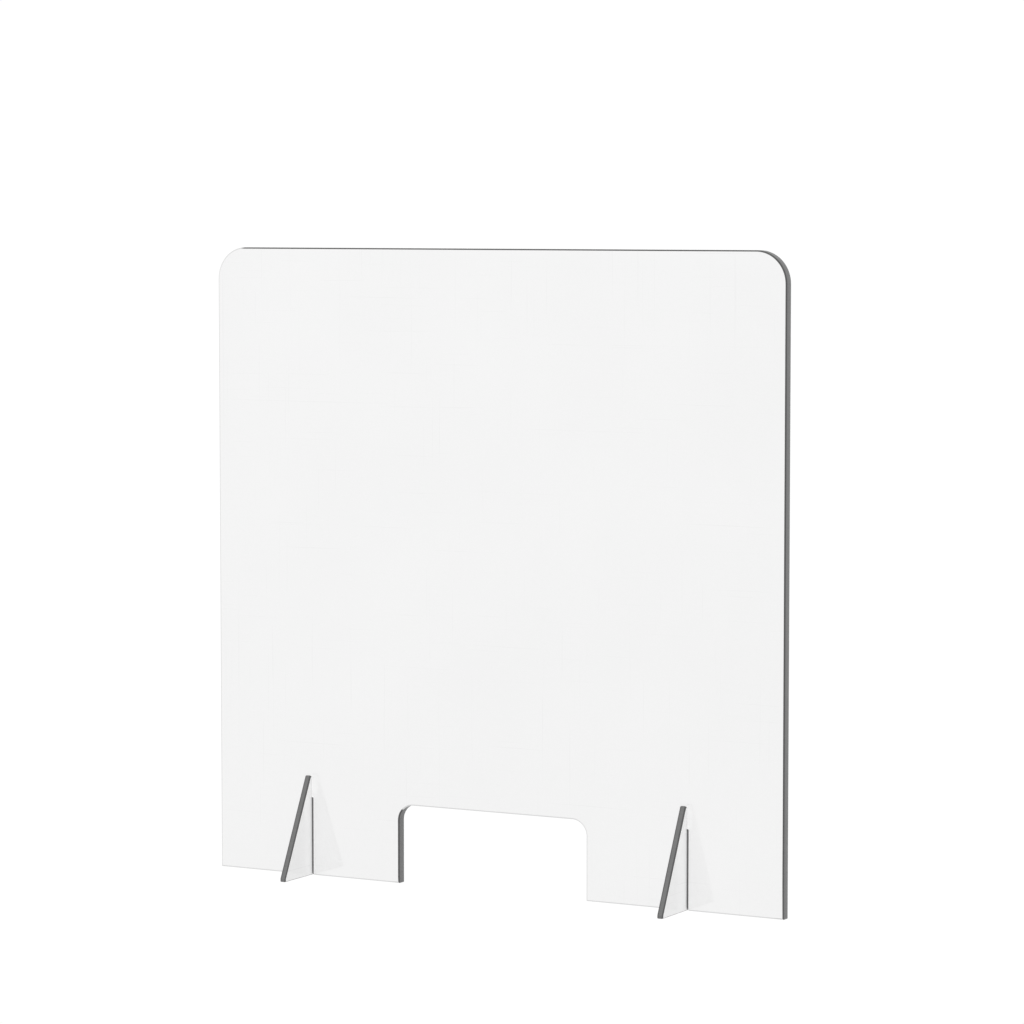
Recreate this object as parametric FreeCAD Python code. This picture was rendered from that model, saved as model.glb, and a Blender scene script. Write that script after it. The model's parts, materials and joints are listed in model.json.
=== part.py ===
"""Desk privacy panel: one upright acrylic sheet standing on two slotted triangular feet.

Millimetres, +Z up. X runs along the panel, -Y is the front (the visitor's side).
The origin is on the desk top, in the middle of the panel's thickness and width.
Each foot crosses the panel in a cross-halving joint: the panel's slot is open at the
bottom, the foot's slot is open at the top, and the panel lifts straight up off its feet.
"""

import FreeCAD
import Part
import os

from FreeCAD import Vector

# Panel
PANEL_WIDTH = 600.0
PANEL_HEIGHT = 600.0
PANEL_THICKNESS = 10.0
CORNER_RADIUS = 30.0

# Pass-through opening in the middle of the bottom edge
OPENING_WIDTH = PANEL_WIDTH / 3
OPENING_HEIGHT = PANEL_HEIGHT / 8
OPENING_RADIUS = 15.0

# Feet
FOOT_THICKNESS = 6.0
FOOT_LENGTH = 105.0
FOOT_HEIGHT = 96.0
FOOT_OFFSET = PANEL_WIDTH / 3
TOE_HEIGHT = 3.0
TOE_RADIUS = 2.0
TIP_WIDTH = 1.6
TIP_RADIUS = 0.75

# Cross-halving joint: the foot's slot grips the panel, and the panel's slot clears the foot
PANEL_SLOT_PLAY = 2.0
PANEL_SLOT_WIDTH = FOOT_THICKNESS + 2 * PANEL_SLOT_PLAY
PANEL_SLOT_HEIGHT = PANEL_HEIGHT / 8
PANEL_SLOT_RADIUS = 1.0
FOOT_SLOT_CLEARANCE = 0.15
FOOT_SLOT_WIDTH = PANEL_THICKNESS + 2 * FOOT_SLOT_CLEARANCE
SEAT_GAP = 0.35
FOOT_SLOT_FLOOR = PANEL_SLOT_HEIGHT - SEAT_GAP

# A cutting tool runs this far past the faces it cuts through
OVERCUT = 5.0


def slab(width, depth, low, high, centre_x=0.0):
    """A box centred on centre_x and on Y = 0, from Z = low to Z = high."""
    corner = Vector(centre_x - width / 2, -depth / 2, low)
    return Part.makeBox(width, depth, high - low, corner)


def round_edges(solid, direction, radius, chosen):
    """Fillets the straight edges parallel to direction whose middle passes the chosen test."""
    edges = []
    for edge in solid.Edges:
        if edge.Curve.TypeId != "Part::GeomLine":
            continue
        if edge.tangentAt(edge.FirstParameter).cross(direction).Length > 1e-6:
            continue
        if chosen(edge.CenterOfMass):
            edges.append(edge)
    return solid.makeFillet(radius, edges)


def top_rounded_slab(width, depth, low, high, radius, centre_x=0.0):
    """A slab whose two top corners are rounded about Y."""
    block = slab(width, depth, low, high, centre_x)
    return round_edges(block, Vector(0, 1, 0), radius, lambda middle: middle.z > high - 1e-6)


def bottom_cut(width, height, radius, centre_x=0.0):
    """The space of a cut that is open at the panel's bottom edge and has rounded top corners."""
    depth = PANEL_THICKNESS + 2 * OVERCUT
    return top_rounded_slab(width, depth, -OVERCUT, height, radius, centre_x)


def make_panel():
    """The upright sheet, with its pass-through opening and one slot for each foot."""
    sheet = top_rounded_slab(PANEL_WIDTH, PANEL_THICKNESS, 0, PANEL_HEIGHT, CORNER_RADIUS)
    panel = sheet.cut(bottom_cut(OPENING_WIDTH, OPENING_HEIGHT, OPENING_RADIUS))
    for side in (-1, 1):
        slot_centre = side * FOOT_OFFSET
        slot = bottom_cut(PANEL_SLOT_WIDTH, PANEL_SLOT_HEIGHT, PANEL_SLOT_RADIUS, slot_centre)
        panel = panel.cut(slot)
    return panel.removeSplitter()


def foot_outline():
    """Corners of the foot's side view as (y, z): a triangle whose tip is opened by the slot."""
    toe = FOOT_LENGTH / 2
    wall = FOOT_SLOT_WIDTH / 2
    front_half = [
        (-toe, 0),
        (-toe, TOE_HEIGHT),
        (-wall - TIP_WIDTH, FOOT_HEIGHT),
        (-wall, FOOT_HEIGHT),
        (-wall, FOOT_SLOT_FLOOR),
    ]
    rear_half = [(-y, z) for y, z in reversed(front_half)]
    return front_half + rear_half


def make_foot(centre_x):
    """One foot: a flat plate across the panel, slotted from its tip downwards."""
    left_face = centre_x - FOOT_THICKNESS / 2
    corners = [Vector(left_face, y, z) for y, z in foot_outline()]
    face = Part.Face(Part.makePolygon(corners + corners[:1]))
    plate = face.extrude(Vector(FOOT_THICKNESS, 0, 0))
    across = Vector(1, 0, 0)
    plate = round_edges(plate, across, TIP_RADIUS, lambda middle: middle.z > FOOT_HEIGHT - 1e-6)
    return round_edges(plate, across, TOE_RADIUS, lambda middle: abs(middle.z - TOE_HEIGHT) < 1e-6)


def solid_of(shape):
    """The single solid in shape."""
    if len(shape.Solids) != 1:
        raise ValueError(f"expected one solid, found {len(shape.Solids)}")
    return shape.Solids[0]


def main():
    os.makedirs("parts", exist_ok=True)
    nodes = {
        "panel": make_panel(),
        "left_foot": make_foot(-FOOT_OFFSET),
        "right_foot": make_foot(FOOT_OFFSET),
    }
    for name, shape in nodes.items():
        solid = solid_of(shape)
        solid.exportStep(f"parts/{name}.step")


main()
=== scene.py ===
"""Looks of the desk privacy panel: a satin acrylic sheet on two slotted feet, in a white studio.

Metres, in the CAD frame: X runs along the panel, -Y is the front, +Z is up.
Every piece is a flat sheet: an outline, given a thickness, with its arrises eased all round
except in its slots.
"""

import json
import math

import bmesh
import bpy
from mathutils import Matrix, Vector


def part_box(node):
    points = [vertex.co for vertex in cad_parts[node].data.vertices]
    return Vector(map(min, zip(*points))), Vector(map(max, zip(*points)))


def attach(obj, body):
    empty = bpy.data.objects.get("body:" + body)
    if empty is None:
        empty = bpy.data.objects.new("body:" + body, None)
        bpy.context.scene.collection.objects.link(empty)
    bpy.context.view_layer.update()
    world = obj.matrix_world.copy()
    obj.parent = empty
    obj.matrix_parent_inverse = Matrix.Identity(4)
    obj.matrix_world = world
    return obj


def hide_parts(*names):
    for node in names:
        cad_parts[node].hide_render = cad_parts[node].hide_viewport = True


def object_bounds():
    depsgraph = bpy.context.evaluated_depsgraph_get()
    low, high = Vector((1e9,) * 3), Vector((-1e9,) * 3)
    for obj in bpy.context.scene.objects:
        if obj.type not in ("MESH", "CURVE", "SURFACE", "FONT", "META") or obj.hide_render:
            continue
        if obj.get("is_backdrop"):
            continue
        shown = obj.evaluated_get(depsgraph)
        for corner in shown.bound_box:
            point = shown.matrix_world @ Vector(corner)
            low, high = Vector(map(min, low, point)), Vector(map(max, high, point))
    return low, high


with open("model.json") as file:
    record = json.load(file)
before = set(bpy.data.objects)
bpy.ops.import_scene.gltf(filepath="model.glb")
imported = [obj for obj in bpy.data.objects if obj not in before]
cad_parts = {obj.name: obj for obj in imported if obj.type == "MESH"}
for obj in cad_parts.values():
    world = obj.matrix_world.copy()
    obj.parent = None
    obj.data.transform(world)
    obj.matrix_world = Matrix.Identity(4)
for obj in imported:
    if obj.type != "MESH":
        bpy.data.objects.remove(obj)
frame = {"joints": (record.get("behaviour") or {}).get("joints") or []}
cad_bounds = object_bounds()

MM = 0.001

# Panel, in shares of its width or height, or in metres
CORNER_SHARE = 1 / 20
OPENING_WIDTH_SHARE = 1 / 3
OPENING_HEIGHT_SHARE = 1 / 8
OPENING_RADIUS_SHARE = 1 / 40
SLOT_HEIGHT_SHARE = 1 / 8
SLOT_PLAY = 2.0 * MM
SLOT_RADIUS = 1.0 * MM
PANEL_EASE_INSET = 1.2 * MM
PANEL_EASE_DEPTH = 1.2 * MM

# Feet
TOE_HEIGHT = 3.0 * MM
TOE_RADIUS = 2.0 * MM
TIP_WIDTH = 1.6 * MM
TIP_RADIUS = 0.75 * MM
TIP_DROP = 1.0 * MM
FOOT_SLOT_CLEARANCE = 0.15 * MM
SEAT_GAP = 0.35 * MM
FOOT_EASE_INSET = 0.65 * MM
FOOT_EASE_DEPTH = 1.3 * MM

# Mesh fineness: angles in degrees, and counts
ARC_STEP = 5.0
SMOOTH_ANGLE = 35.0
EASE_SEGMENTS = 4
FLOOR_SEGMENTS = 96

# Two sides that turn by less than this, as a sine, belong to one smooth curve
CORNER_TURN = 0.3

# Order of a piece's materials
FACE, CUT_EDGE, ARRIS, SLOT_WALL = range(4)

# Satin faces, as linear grey levels; a glow is painted light, an even emission that stands in for
# light coming through the sheet
PANEL_GREY = 0.35
PANEL_GLOW = 0.525
PANEL_OPACITY = 0.78
FOOT_GREY = 0.60
FOOT_GLOW = 0.28
FOOT_OPACITY = 0.86

# A face behind another satin sheet: share of its cover lost, share of its shading kept, and its
# painted glow, an even emission in place of the rest of its shading
HAZE = 0.3
SPREAD_SHADE = 0.15
SPREAD_GLOW = 0.60

# Painted shade: the dark gap between a foot and the panel, found by how little open space is
# around a point
CREVICE_SHADE_GREY = 0.30
CREVICE_REACH = 12.0 * MM
CREVICE_SAMPLES = 48
CREVICE_CLOSED = 0.40
CREVICE_OPEN = 0.52

# Cut edges and eased arrises, as linear grey levels; the arris greys and glow are painted shade
# and painted light
PANEL_CUT_GREY = 0.185
FOOT_CUT_GREY = 0.165
SHADED_ARRIS_GREY = 0.09
LIT_ARRIS_GREY = 0.30
LIT_ARRIS_GLOW = 0.40
FOOT_LIT_BASE_GREY = 0.15

# Painted light and shade: an arris is painted dark where the dot product of its outward direction
# and the shaded side is high, and painted lighter elsewhere
PANEL_SHADED_SIDE = (0.9, 0.0, 0.43)
PANEL_SHADED_THRESHOLD = 0.35
FOOT_SHADED_SIDE = (0.0, 0.0, 1.0)
FOOT_SHADED_THRESHOLD = -0.5
ARRIS_SOFTNESS = 0.05

# Patterns, in features per metre, and the part of a noise's range that is used
NOISE_RANGE = (0.3, 0.7)
HANDLING_RANGE = (0.35, 0.75)
CLOUD_SCALE = 7.0
HANDLING_SCALE = 22.0
FROST_SCALE = 1500.0
MARK_SCALE = 1400.0
WAVE_SCALE = 120.0
MARK_STRETCH = 60.0

# Scratches: turn and stretch of two sets of noise, and the levels where a scratch starts
STEEP_SCRATCHES = ((0.4, -0.9, 0.0), (700.0, 7.0, 7.0))
FLAT_SCRATCHES = ((0.0, 0.5, 0.3), (9.0, 9.0, 900.0))
SCRATCH_RANGE = (0.70, 0.76)

# How strongly each pattern shows
CLOUD_CONTRAST = 0.015
GLOW_CONTRAST = 0.01
OPACITY_SPREAD = 0.01
FROST_CONTRAST = 0.03
SCRATCH_DARKNESS = 0.08
SCRATCH_ROUGHNESS = 0.2
SCRATCH_DEPTH = 0.6
MARK_CONTRAST = 0.07
WAVE_CONTRAST = 0.04

# Acrylic surface
ACRYLIC_IOR = 1.49
SATIN_ROUGHNESS = (0.34, 0.46)
EDGE_ROUGHNESS = (0.32, 0.5)
FACE_BUMP = 0.12
EDGE_BUMP = 0.25
BUMP_HEIGHT = 0.08 * MM

# Studio
SKY_STRENGTH = 0.88
KEY_STRENGTH = 38.0
KEY_SIZE = 2.5
KEY_PLACE = Vector((-1.8, -5.0, 3.0))
KEY_TARGET = Vector((0.0, 0.0, 0.3))
WHITE = 1.02
FLOOR_GREY = 0.85
FLOOR_SCALE = 3.0
FLOOR_CONTRAST = 0.005
FLOOR_RADIUS = 60.0
FLOOR_MARGIN = 5.0 * MM

# Camera: angles in degrees, and its aim from the middle of the object
CAMERA_YAW = 28.8
CAMERA_PITCH = 4.44
CAMERA_DISTANCE = 3.621
CAMERA_LENS = 137.4
CAMERA_AIM = Vector((0.0192, 0.0, 0.0567))


# ---------------------------------------------------------------- outlines

def arc(centre, radius, start, end):
    """Points on an arc about centre in a sheet's plane, from start to end degrees."""
    steps = max(2, round(abs(end - start) / ARC_STEP))
    points = []
    for step in range(steps + 1):
        angle = math.radians(start + (end - start) * step / steps)
        points.append((centre[0] + radius * math.cos(angle), centre[1] + radius * math.sin(angle)))
    return points


def rounded(before, corner, after, radius):
    """The arc that rounds a corner between two straight sides, as points in order."""
    corner = Vector(corner)
    to_before = (Vector(before) - corner).normalized()
    to_after = (Vector(after) - corner).normalized()
    half = to_before.angle(to_after) / 2
    bisector = (to_before + to_after).normalized()
    centre = corner + bisector * (radius / math.sin(half))
    first = corner + to_before * (radius / math.tan(half)) - centre
    last = corner + to_after * (radius / math.tan(half)) - centre
    start = math.degrees(math.atan2(first.y, first.x))
    turn = math.degrees(math.atan2(first.cross(last), first.dot(last)))
    return arc(centre, radius, start, start + turn)


def round_corners(corners):
    """An outline from (u, v, radius) corners, where a radius of 0 keeps the corner sharp."""
    outline = []
    for index, (u, v, radius) in enumerate(corners):
        if radius == 0:
            outline.append((u, v))
            continue
        before = corners[index - 1][:2]
        after = corners[(index + 1) % len(corners)][:2]
        outline.extend(rounded(before, (u, v), after, radius))
    return outline


def bottom_cut(bottom, centre, width, height, radius):
    """Corners of a cut that is open at the bottom, up its left side and down its right side."""
    left = centre - width / 2
    right = centre + width / 2
    top = bottom + height
    return [(left, bottom, 0), (left, top, radius), (right, top, radius), (right, bottom, 0)]


def panel_outline(low, high, feet):
    """The sheet's front view as (x, z): a square with an opening and one slot for each foot."""
    width = high.x - low.x
    height = high.z - low.z
    middle = (low.x + high.x) / 2
    corner = width * CORNER_SHARE
    opening_height = height * OPENING_HEIGHT_SHARE
    cuts = [(middle, width * OPENING_WIDTH_SHARE, opening_height, width * OPENING_RADIUS_SHARE)]
    for foot_low, foot_high in feet:
        slot_width = foot_high.x - foot_low.x + 2 * SLOT_PLAY
        slot_centre = (foot_low.x + foot_high.x) / 2
        cuts.append((slot_centre, slot_width, height * SLOT_HEIGHT_SHARE, SLOT_RADIUS))
    corners = [(low.x, high.z, corner), (low.x, low.z, 0)]
    for cut in sorted(cuts):
        corners.extend(bottom_cut(low.z, *cut))
    corners.extend([(high.x, low.z, 0), (high.x, high.z, corner)])
    return round_corners(corners)


def foot_outline(low, high, panel_low, panel_high):
    """The foot's side view as (y, z): a triangle whose tip is opened by the panel's slot."""
    wall = (panel_high.y - panel_low.y) / 2 + FOOT_SLOT_CLEARANCE
    floor = (panel_high.z - panel_low.z) * SLOT_HEIGHT_SHARE - SEAT_GAP
    rear = [
        (high.y, low.z, 0),
        (high.y, low.z + TOE_HEIGHT, TOE_RADIUS),
        (wall + TIP_WIDTH, high.z, TIP_RADIUS),
        (wall, high.z, TIP_RADIUS),
        (wall, floor, 0),
    ]
    front = [(-y, z, radius) for y, z, radius in reversed(rear)]
    return round_corners(rear + front)


# ---------------------------------------------------------------- meshes

def side_normals(outline):
    """The outward normal of each side of an anticlockwise outline."""
    normals = []
    for index, (u, v) in enumerate(outline):
        next_u, next_v = outline[(index + 1) % len(outline)]
        normals.append(Vector((next_v - v, u - next_u)).normalized())
    return normals


def inward_step(before, after, before_distance, after_distance):
    """How a corner moves when the two sides that meet in it move inwards by their distances."""
    turn = before.cross(after)
    if abs(turn) < CORNER_TURN:
        return -(before + after).normalized() * (before_distance + after_distance) / 2
    return Vector((
        (after_distance * before.y - before_distance * after.y) / turn,
        (before_distance * after.x - after_distance * before.x) / turn,
    ))


def inset_outline(outline, distances):
    """The outline with each side moved inwards by its own distance."""
    normals = side_normals(outline)
    points = []
    for index, point in enumerate(outline):
        step = inward_step(
            normals[index - 1], normals[index], distances[index - 1], distances[index]
        )
        points.append((point[0] + step.x, point[1] + step.y))
    return points


def ease_profile(low, high, depth):
    """Level and share of the full inset of each ring, from one big face to the other."""
    quarter = []
    for step in range(EASE_SEGMENTS + 1):
        angle = math.pi / 2 * step / EASE_SEGMENTS
        quarter.append((depth * (1 - math.cos(angle)), 1 - math.sin(angle)))
    rising = [(low + drop, share) for drop, share in quarter]
    falling = [(high - drop, share) for drop, share in reversed(quarter)]
    return rising + falling


def side_slots(outline, in_slot):
    """For each side of the outline, whether it is a side of a slot."""
    found = []
    for index, (u, v) in enumerate(outline):
        next_u, next_v = outline[(index + 1) % len(outline)]
        found.append(in_slot((u + next_u) / 2, (v + next_v) / 2))
    return found


def sheet_mesh(outline, place, levels, ease, slotted):
    """A closed sheet with eased arrises outside its slots; place(u, v, level) gives a point."""
    inset, depth = ease
    sheet = bmesh.new()
    rings = []
    for level, share in ease_profile(*levels, depth):
        distances = [0.0 if in_slot else inset * share for in_slot in slotted]
        points = inset_outline(outline, distances)
        rings.append([sheet.verts.new(place(u, v, level)) for u, v in points])
    for ring in (rings[0], rings[-1]):
        sheet.faces.new(ring).material_index = FACE
    count = len(outline)
    for number, (ring, following) in enumerate(zip(rings, rings[1:])):
        band = CUT_EDGE if number == EASE_SEGMENTS else ARRIS
        for side in range(count):
            after = (side + 1) % count
            corners = (ring[side], following[side], following[after], ring[after])
            face = sheet.faces.new(corners)
            face.material_index = SLOT_WALL if slotted[side] else band
            face.smooth = True
    bmesh.ops.recalc_face_normals(sheet, faces=sheet.faces)
    return sheet


def link_mesh(name, shape, materials):
    """A new object in the scene, made from a bmesh and its materials."""
    mesh = bpy.data.meshes.new(name)
    shape.to_mesh(mesh)
    shape.free()
    for material in materials:
        mesh.materials.append(material)
    piece = bpy.data.objects.new(name, mesh)
    bpy.context.scene.collection.objects.link(piece)
    return piece


def make_sheet(name, outline, place, levels, ease, in_slot, materials):
    """A finished sheet piece, with materials in the order FACE, CUT_EDGE, ARRIS, SLOT_WALL."""
    shape = sheet_mesh(outline, place, levels, ease, side_slots(outline, in_slot))
    piece = link_mesh(name, shape, materials)
    piece.data.set_sharp_from_angle(angle=math.radians(SMOOTH_ANGLE))
    return piece


# ---------------------------------------------------------------- shader nodes

def node_adder(tree):
    """Empties a node tree and gives a function that adds one node with its inputs set."""
    tree.nodes.clear()

    def add(kind, inputs=None, **settings):
        node = tree.nodes.new(kind)
        for key, value in settings.items():
            setattr(node, key, value)
        for key, value in (inputs or {}).items():
            if isinstance(value, bpy.types.NodeSocket):
                tree.links.new(value, node.inputs[key])
            else:
                node.inputs[key].default_value = value
        return node

    return add


def start_material(name):
    """An empty node material, and the function that adds its nodes."""
    material = bpy.data.materials.new(name)
    material.use_nodes = True
    return material, node_adder(material.node_tree)


def grey(level):
    """A linear grey colour."""
    return (level, level, level, 1.0)


def as_colour(add, level):
    """A grey colour from a computed level."""
    return add("ShaderNodeCombineColor", {0: level, 1: level, 2: level}).outputs["Color"]


def noise(add, scale, detail=2.0, stretch=(1.0, 1.0, 1.0), spin=(0.0, 0.0, 0.0)):
    """Noise in the piece's own metres, with scale in features per metre."""
    place = add("ShaderNodeTexCoord")
    mapped = add(
        "ShaderNodeMapping",
        {"Vector": place.outputs["Object"], "Scale": stretch, "Rotation": spin},
    )
    inputs = {"Vector": mapped.outputs["Vector"], "Scale": scale, "Detail": detail}
    return add("ShaderNodeTexNoise", inputs).outputs["Fac"]


def remap(add, value, low, high, to_low, to_high):
    """Maps value from one range to another, and stops at its ends."""
    inputs = {
        "Value": value, "From Min": low, "From Max": high, "To Min": to_low, "To Max": to_high,
    }
    return add("ShaderNodeMapRange", inputs).outputs["Result"]


def blend(add, share, at_zero, at_one):
    """Goes from at_zero to at_one as share goes from 0 to 1."""
    return remap(add, share, 0.0, 1.0, at_zero, at_one)


def varied(add, pattern, middle, spread):
    """A level that follows a noise pattern, from spread below middle to spread above it."""
    return remap(add, pattern, *NOISE_RANGE, middle - spread, middle + spread)


def math_node(add, operation, first, second):
    """The result of one arithmetic operation."""
    return add("ShaderNodeMath", {0: first, 1: second}, operation=operation).outputs["Value"]


def product(add, first, *factors):
    """All the levels multiplied together."""
    result = first
    for factor in factors:
        result = math_node(add, "MULTIPLY", result, factor)
    return result


def vector_node(add, operation, output, first, second=(0.0, 0.0, 0.0)):
    """The named output of one vector operation."""
    inputs = {0: first, 1: second}
    return add("ShaderNodeVectorMath", inputs, operation=operation).outputs[output]


def seen_from_inside(add):
    """1 on the inner side of a piece's surface and 0 on its outer side."""
    return add("ShaderNodeNewGeometry").outputs["Backfacing"]


def seen_through_sheet(add):
    """1 where the line of sight has come through a sheet first, and 0 where it hasn't."""
    crossed = add("ShaderNodeLightPath").outputs["Transparent Depth"]
    return blend(add, crossed, 0.0, 1.0)


def crevice_light(add):
    """Where painted shade goes: 0 deep in a narrow gap and 1 elsewhere; satin sheet blurs away a
    gap behind it.
    """
    inputs = {"Distance": CREVICE_REACH}
    shade = add("ShaderNodeAmbientOcclusion", inputs, samples=CREVICE_SAMPLES)
    light = remap(add, shade.outputs["AO"], CREVICE_CLOSED, CREVICE_OPEN, 0.0, 1.0)
    return math_node(add, "MAXIMUM", light, seen_through_sheet(add))


# ---------------------------------------------------------------- materials

def acrylic(add, tone, glow, roughness, height, bump):
    """A grey acrylic surface with fine relief from height."""
    relief = add("ShaderNodeBump", {"Height": height, "Strength": bump, "Distance": BUMP_HEIGHT})
    # The glow is painted light: an emission on a surface that is no lamp
    return add("ShaderNodeBsdfPrincipled", {
        "Base Color": as_colour(add, tone),
        "Roughness": roughness,
        "IOR": ACRYLIC_IOR,
        "Emission Color": grey(1.0),
        "Emission Strength": glow,
        "Normal": relief.outputs["Normal"],
    }).outputs["BSDF"]


def finish_material(add, surface, clear_share):
    """Ends a material that is a surface, except for the share that is clear."""
    clear = add("ShaderNodeBsdfTransparent", {"Color": grey(1.0)}).outputs["BSDF"]
    mixed = add("ShaderNodeMixShader", {0: clear_share, 1: surface, 2: clear})
    add("ShaderNodeOutputMaterial", {"Surface": mixed.outputs["Shader"]})


def scratch_lines(add, spin, stretch):
    """1 on a few fine straight scratches and 0 elsewhere."""
    lines = noise(add, 1.0, detail=1.0, stretch=stretch, spin=spin)
    return remap(add, lines, *SCRATCH_RANGE, 0.0, 1.0)


def satin_surface(add, tone, glow):
    """The outside of a satin sheet: frost, a few scratches and marks from handling."""
    frost = noise(add, FROST_SCALE)
    handling = noise(add, HANDLING_SCALE, detail=4.0)
    scratches = math_node(
        add, "MAXIMUM",
        scratch_lines(add, *FLAT_SCRATCHES),
        scratch_lines(add, *STEEP_SCRATCHES),
    )
    grain = varied(add, frost, 1.0, FROST_CONTRAST)
    grain = math_node(add, "SUBTRACT", grain, product(add, scratches, SCRATCH_DARKNESS))
    roughness = remap(add, handling, *HANDLING_RANGE, *SATIN_ROUGHNESS)
    roughness = math_node(add, "ADD", roughness, product(add, scratches, SCRATCH_ROUGHNESS))
    height = math_node(add, "SUBTRACT", frost, product(add, scratches, SCRATCH_DEPTH))
    return acrylic(add, product(add, tone, grain), glow, roughness, height, FACE_BUMP)


def satin_face_material(name, grey_level, opacity, glow_level, in_gaps=False):
    """Satin acrylic: mostly its own milky grey, and see-through for the rest."""
    material, add = start_material(name)
    cloud = noise(add, CLOUD_SCALE, detail=3.0)
    seen = seen_through_sheet(add)
    # Painted shade: deep in a gap the face darkens, its glow dims and it stops being see-through
    light = crevice_light(add) if in_gaps else 1.0
    dimmed = blend(add, light, CREVICE_SHADE_GREY, 1.0)

    # Painted light: the glow is an even emission on a face that is no lamp; seen through another
    # sheet, most of the face's shading is swapped for an even painted glow
    tone = varied(add, cloud, grey_level, grey_level * CLOUD_CONTRAST)
    tone = product(add, tone, dimmed, blend(add, seen, 1.0, SPREAD_SHADE))
    glow = varied(add, cloud, glow_level, glow_level * GLOW_CONTRAST)
    spread_glow = product(add, seen, SPREAD_GLOW)
    glow = math_node(add, "MAXIMUM", product(add, glow, dimmed), spread_glow)

    outside = math_node(add, "SUBTRACT", 1.0, seen_from_inside(add))
    cover = varied(add, cloud, opacity, OPACITY_SPREAD)
    cover = product(add, cover, outside, blend(add, seen, 1.0, 1.0 - HAZE))
    clear_share = product(add, math_node(add, "SUBTRACT", 1.0, cover), light)
    finish_material(add, satin_surface(add, tone, glow), clear_share)
    return material


def edge_surface(add, tone, across, glow=0.0):
    """A cut and lightly polished edge: fine cutter marks run across the sheet's thickness."""
    stretch = [1.0 / MARK_STRETCH if axis else 1.0 for axis in across]
    marks = noise(add, MARK_SCALE, detail=3.0, stretch=stretch)
    waves = noise(add, WAVE_SCALE, stretch=stretch)
    shade = product(
        add, tone, varied(add, marks, 1.0, MARK_CONTRAST), varied(add, waves, 1.0, WAVE_CONTRAST)
    )
    roughness = remap(add, waves, *NOISE_RANGE, *EDGE_ROUGHNESS)
    return acrylic(add, shade, glow, roughness, marks, EDGE_BUMP)


def cut_edge_material(name, across, level):
    """The dark grey cut edge of a sheet."""
    material, add = start_material(name)
    finish_material(add, edge_surface(add, level, across), seen_from_inside(add))
    return material


def slot_wall_material(name, across, level):
    """The cut edge inside a slot, which satin sheet in front of it blurs away."""
    material, add = start_material(name)
    unseen = math_node(add, "MAXIMUM", seen_from_inside(add), seen_through_sheet(add))
    finish_material(add, edge_surface(add, level, across), unseen)
    return material


def arris_material(name, across, shaded_side, threshold, lit_grey, lit_glow):
    """The eased arris, with painted light and shade: painted dark like the cut edge where it faces
    the shaded side, and painted lighter, with a painted glow, where it turns away from it.
    """
    material, add = start_material(name)
    normal = add("ShaderNodeNewGeometry").outputs["Normal"]
    in_plane = [0.0 if axis else 1.0 for axis in across]
    flattened = vector_node(add, "MULTIPLY", "Vector", normal, in_plane)
    outward = vector_node(add, "NORMALIZE", "Vector", flattened)
    facing = vector_node(add, "DOT_PRODUCT", "Value", outward, shaded_side)
    # Painted shade where the arris faces the shaded side; painted light, with a glow, where it
    # turns away
    dark = remap(add, facing, threshold - ARRIS_SOFTNESS, threshold + ARRIS_SOFTNESS, 0.0, 1.0)
    tone = blend(add, dark, lit_grey, SHADED_ARRIS_GREY)
    glow = blend(add, dark, lit_glow, 0.0)
    finish_material(add, edge_surface(add, tone, across, glow), seen_from_inside(add))
    return material


def panel_materials():
    """The panel's materials in their order."""
    across = (0.0, 1.0, 0.0)
    return [
        satin_face_material("panel_satin_face", PANEL_GREY, PANEL_OPACITY, PANEL_GLOW),
        cut_edge_material("panel_cut_edge", across, PANEL_CUT_GREY),
        arris_material(
            "panel_arris", across, PANEL_SHADED_SIDE, PANEL_SHADED_THRESHOLD,
            LIT_ARRIS_GREY, LIT_ARRIS_GLOW,
        ),
        slot_wall_material("panel_slot_wall", across, PANEL_CUT_GREY),
    ]


def foot_materials():
    """A foot's materials in their order."""
    across = (1.0, 0.0, 0.0)
    return [
        satin_face_material(
            "foot_satin_face", FOOT_GREY, FOOT_OPACITY, FOOT_GLOW, in_gaps=True
        ),
        cut_edge_material("foot_cut_edge", across, FOOT_CUT_GREY),
        arris_material(
            "foot_arris", across, FOOT_SHADED_SIDE, FOOT_SHADED_THRESHOLD, FOOT_LIT_BASE_GREY, 0.0
        ),
        slot_wall_material("foot_slot_wall", across, FOOT_CUT_GREY),
    ]


# ---------------------------------------------------------------- pieces

def panel_slot_test(low, high, feet):
    """A function that tells whether a point (x, z) of the panel's outline is on a slot."""
    reach = 2 * SLOT_PLAY
    top = low.z + (high.z - low.z) * SLOT_HEIGHT_SHARE + SLOT_RADIUS

    def in_slot(x, z):
        beside = [foot_low.x - reach < x < foot_high.x + reach for foot_low, foot_high in feet]
        return any(beside) and low.z < z < top

    return in_slot


def foot_slot_test(panel_low, panel_high):
    """A function that tells whether a point (y, z) of a foot's outline is on its slot."""
    reach = (panel_high.y - panel_low.y) / 2 + 2 * FOOT_SLOT_CLEARANCE
    bottom = panel_low.z + TOE_HEIGHT
    return lambda y, z: abs(y) < reach and z > bottom


def round_tip_place(low, high):
    """A function that puts a foot's points in place, with its tip rounded from side to side."""
    tip_start = high.z - 2 * TIP_RADIUS

    def place(y, z, x):
        if z < tip_start:
            return (x, y, z)
        depth = min(1.0, min(x - low.x, high.x - x) / FOOT_EASE_DEPTH)
        share = 1 - math.sqrt(max(0.0, 1 - (1 - depth) ** 2))
        return (x, y, z - TIP_DROP * share)

    return place


def build_panel():
    """The upright sheet."""
    low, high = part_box("panel")
    feet = [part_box("left_foot"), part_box("right_foot")]
    piece = make_sheet(
        "panel_sheet",
        panel_outline(low, high, feet),
        lambda x, z, y: (x, y, z),
        (low.y, high.y),
        (PANEL_EASE_INSET, PANEL_EASE_DEPTH),
        panel_slot_test(low, high, feet),
        panel_materials(),
    )
    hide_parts("panel")
    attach(piece, "panel")


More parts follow.
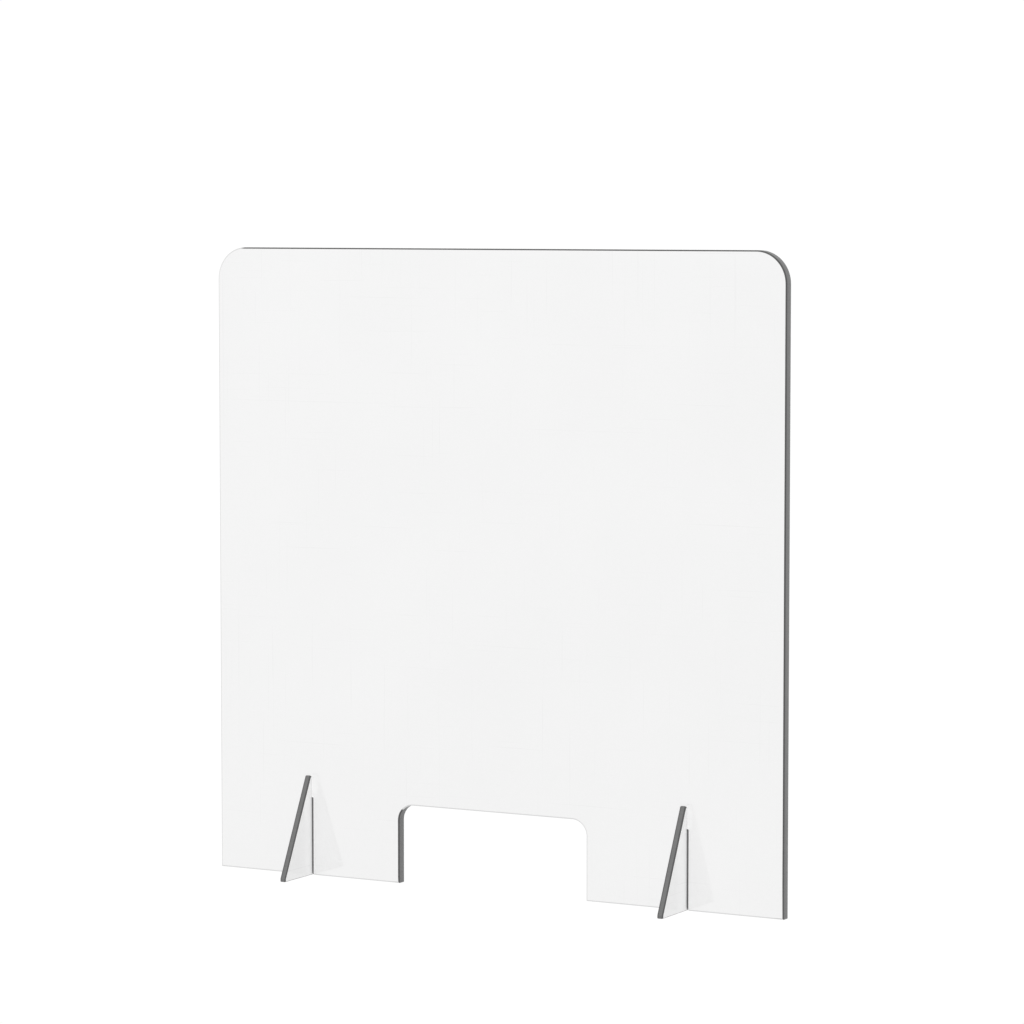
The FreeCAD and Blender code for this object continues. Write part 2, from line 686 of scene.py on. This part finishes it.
def build_feet():
    """The two feet, which are the same plate and share their materials."""
    panel_low, panel_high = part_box("panel")
    materials = foot_materials()
    for node in ("left_foot", "right_foot"):
        low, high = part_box(node)
        piece = make_sheet(
            f"{node}_sheet",
            foot_outline(low, high, panel_low, panel_high),
            round_tip_place(low, high),
            (low.x, high.x),
            (FOOT_EASE_INSET, FOOT_EASE_DEPTH),
            foot_slot_test(panel_low, panel_high),
            materials,
        )
        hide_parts(node)
        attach(piece, node)


# ---------------------------------------------------------------- studio

def floor_material():
    """Pale studio floor for the light, and overexposed to pure white for the camera."""
    material, add = start_material("studio_floor")
    seen = add("ShaderNodeLightPath").outputs["Is Camera Ray"]
    level = varied(add, noise(add, FLOOR_SCALE), FLOOR_GREY, FLOOR_GREY * FLOOR_CONTRAST)
    pale = add("ShaderNodeBsdfDiffuse", {"Color": as_colour(add, level)}).outputs["BSDF"]
    white = add("ShaderNodeEmission", {"Color": grey(1.0), "Strength": WHITE}).outputs["Emission"]
    mixed = add("ShaderNodeMixShader", {0: seen, 1: pale, 2: white})
    add("ShaderNodeOutputMaterial", {"Surface": mixed.outputs["Shader"]})
    return material


def build_floor():
    """A round floor, low enough to leave room for a foot at its joint's limit."""
    travel = max(limit for joint in frame["joints"] for limit in joint["range_m"])
    level = cad_bounds[0].z - travel - FLOOR_MARGIN
    disc = bmesh.new()
    bmesh.ops.create_circle(disc, cap_ends=True, radius=FLOOR_RADIUS, segments=FLOOR_SEGMENTS)
    bmesh.ops.translate(disc, verts=disc.verts, vec=(0.0, 0.0, level))
    link_mesh("floor", disc, [floor_material()])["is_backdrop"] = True


def build_sky():
    """An even white surround: pure white to the camera, softer as a light."""
    world = bpy.data.worlds.new("studio")
    world.use_nodes = True
    add = node_adder(world.node_tree)
    seen = add("ShaderNodeLightPath").outputs["Is Camera Ray"]
    strength = blend(add, seen, SKY_STRENGTH, WHITE)
    sky = add("ShaderNodeBackground", {"Color": grey(1.0), "Strength": strength})
    add("ShaderNodeOutputWorld", {"Surface": sky.outputs["Background"]})
    bpy.context.scene.world = world


def build_key_light():
    """One large soft light, in front of the panel and to its left."""
    lamp = bpy.data.lights.new("key", "AREA")
    lamp.energy = KEY_STRENGTH
    lamp.size = KEY_SIZE
    key = bpy.data.objects.new("key", lamp)
    key.location = KEY_PLACE
    key.rotation_euler = (KEY_TARGET - KEY_PLACE).to_track_quat("-Z", "Y").to_euler()
    bpy.context.scene.collection.objects.link(key)


def build_camera():
    """A long lens in front of the panel and to its right, slightly above its top edge."""
    low, high = cad_bounds
    aim = (low + high) / 2 + CAMERA_AIM
    yaw = math.radians(CAMERA_YAW)
    pitch = math.radians(CAMERA_PITCH)
    back = Vector((
        math.sin(yaw) * math.cos(pitch), -math.cos(yaw) * math.cos(pitch), math.sin(pitch),
    ))
    data = bpy.data.cameras.new("camera")
    data.lens = CAMERA_LENS
    camera = bpy.data.objects.new("camera", data)
    camera.location = aim + back * CAMERA_DISTANCE
    camera.rotation_euler = (-back).to_track_quat("-Z", "Y").to_euler()
    bpy.context.scene.collection.objects.link(camera)
    bpy.context.scene.camera = camera


def save_sizes():
    """Lists the CAD box and the visual model's box side by side, without writing them anywhere."""
    boxes = {"cad": cad_bounds, "visual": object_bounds()}
    plain = {name: [list(corner) for corner in box] for name, box in boxes.items()}


build_panel()
build_feet()
build_floor()
build_sky()
build_key_light()
build_camera()
bpy.context.scene.view_settings.view_transform = "Standard"
save_sizes()
